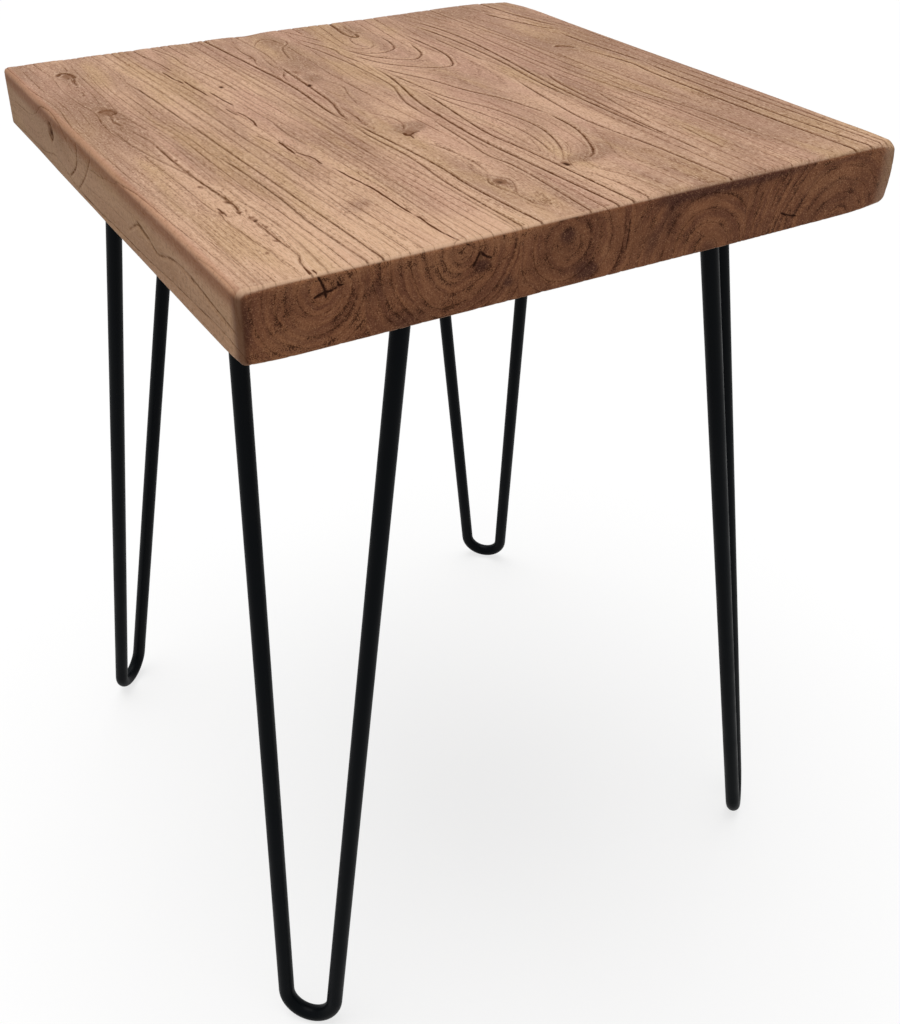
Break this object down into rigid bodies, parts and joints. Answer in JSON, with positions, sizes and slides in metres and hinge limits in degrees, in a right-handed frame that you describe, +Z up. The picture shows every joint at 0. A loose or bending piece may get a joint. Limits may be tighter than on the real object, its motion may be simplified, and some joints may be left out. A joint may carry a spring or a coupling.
{
  "type": "side table",
  "caption": "Small square side table: a thick edge-glued solid elm top on hairpin legs of bent black steel rod, each screwed on through a welded mounting plate.",
  "frame": {"origin": "on the floor, under the middle of the top", "axes": "+Z up, +X across the staves along the end grain, +Y along the grain to the back"},
  "size_m": [0.371, 0.371, 0.494],
  "materials": {
    "elm": "brushed and waxed, matte",
    "black_steel": "satin black powder coat",
    "screw_steel": "black oxide"
  },
  "bodies": {
    "root": {"stave_left_edge": "elm", "stave_left_inner": "elm", "stave_middle": "elm", "stave_right_inner": "elm", "stave_right_edge": "elm", "hairpin_front_left": "black_steel", "hairpin_front_right": "black_steel", "hairpin_back_left": "black_steel", "hairpin_back_right": "black_steel", "plate_front_left": "black_steel", "plate_front_right": "black_steel", "plate_back_left": "black_steel", "plate_back_right": "black_steel", "weld_front_left": "black_steel", "weld_front_right": "black_steel", "weld_back_left": "black_steel", "weld_back_right": "black_steel", "screws_front_left": "screw_steel", "screws_front_right": "screw_steel", "screws_back_left": "screw_steel", "screws_back_right": "screw_steel"}
  },
  "joints": []
}
